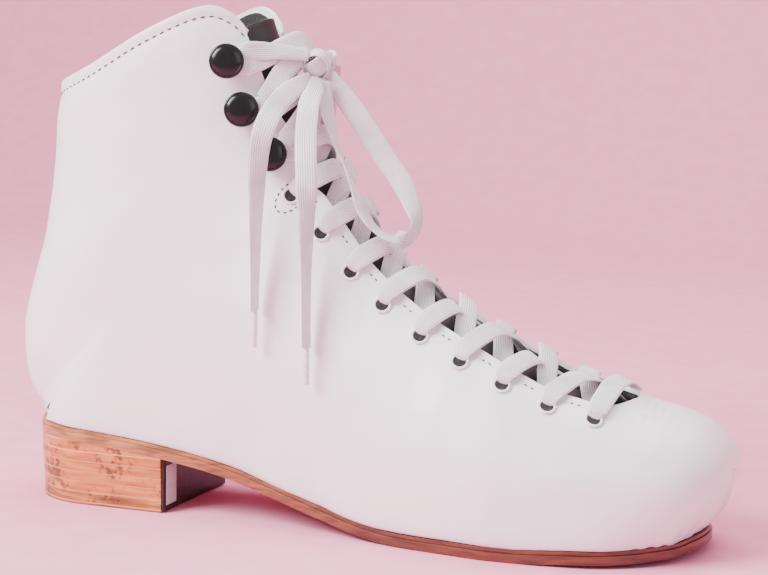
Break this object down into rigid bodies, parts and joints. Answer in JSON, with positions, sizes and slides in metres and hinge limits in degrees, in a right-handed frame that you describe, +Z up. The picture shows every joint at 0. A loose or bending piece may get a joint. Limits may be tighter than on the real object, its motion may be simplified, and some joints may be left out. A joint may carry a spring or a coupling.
{
  "type": "skate boot",
  "caption": "Right white leather lace-up skating boot without a blade: stacked heel, hooks and eyelets, padded tongue and tied bow.",
  "frame": {"origin": "on the floor, under the middle of the boot's box, free lace left out", "axes": "+X towards the toe, +Y towards the inner side of the foot, +Z up"},
  "size_m": [0.284, 0.0894, 0.1924],
  "materials": {
    "white_leather": "smooth coated white leather, soft sheen",
    "black_leather": "soft black leather, low sheen",
    "black_lining": "matte black woven lining",
    "footbed_lining": "undyed lining leather",
    "sole_leather": "brown waxed sole leather, burnished edge",
    "stacked_leather": "stacked leather with lighter seams, waxed",
    "top_piece_rubber": "brown rubber, matte",
    "insole_board": "pressed board",
    "cork": "ground cork",
    "foam": "open foam",
    "steel": "plain steel",
    "black_enamel": "glossy black enamel",
    "white_enamel": "white enamel",
    "lace_cotton": "ribbed white cotton",
    "lace_tip_plastic": "clear film over white cotton",
    "breast_cover": "black, semi-gloss",
    "paper_label": "plain paper"
  },
  "bodies": {
    "boot": {"outsole": "sole_leather", "welt": "sole_leather", "insole_board": "insole_board", "footbed": "footbed_lining", "heel_filler": "insole_board", "cork_filler": "cork", "shank": "steel", "top_piece": "top_piece_rubber", "heel_lift_1": "stacked_leather", "heel_lift_2": "stacked_leather", "heel_lift_3": "stacked_leather", "heel_lift_4": "stacked_leather", "heel_screw": "steel", "breast_cover": "breast_cover", "size_label": "paper_label", "upper": "white_leather", "quarter_lining_lateral": "black_lining", "quarter_lining_medial": "black_lining", "ankle_pad_lateral": "foam", "ankle_pad_medial": "foam", "vamp_lining": "footbed_lining", "toe_puff": "insole_board", "heel_counter": "insole_board", "lace_lateral": "lace_cotton", "lace_medial": "lace_cotton", "bow_knot": "lace_cotton", "lace_end_rear": "lace_cotton", "lace_end_front": "lace_cotton", "bow_loop_front": "lace_cotton", "bow_loop_inner": "lace_cotton", "lace_tip_rear": "lace_tip_plastic", "lace_tip_front": "lace_tip_plastic", "eyelet_lateral_1": "white_enamel", "eyelet_lateral_2": "white_enamel", "eyelet_lateral_3": "white_enamel", "eyelet_lateral_4": "white_enamel", "eyelet_lateral_5": "white_enamel", "eyelet_lateral_6": "white_enamel", "eyelet_lateral_7": "white_enamel", "eyelet_lateral_8": "white_enamel", "eyelet_lateral_9": "white_enamel", "eyelet_medial_1": "white_enamel", "eyelet_medial_2": "white_enamel", "eyelet_medial_3": "white_enamel", "eyelet_medial_4": "white_enamel", "eyelet_medial_5": "white_enamel", "eyelet_medial_6": "white_enamel", "eyelet_medial_7": "white_enamel", "eyelet_medial_8": "white_enamel", "eyelet_medial_9": "white_enamel", "hook_lateral_1": "black_enamel", "hook_lateral_2": "black_enamel", "hook_lateral_3": "black_enamel", "hook_medial_1": "black_enamel", "hook_medial_2": "black_enamel", "hook_medial_3": "black_enamel"},
    "tongue": {"tongue_leather": "black_leather", "tongue_padding": "foam", "tongue_lining": "black_lining"}
  },
  "joints": [
    {"name": "tongue_fold", "type": "hinge", "parent": "boot", "child": "tongue", "pos_m": [0.1085, -0.0003, 0.044], "axis": [0, -1, 0], "range_deg": [0, 8], "stiffness_Nm_per_rad": 0.5, "springref_deg": -11.46}
  ]
}
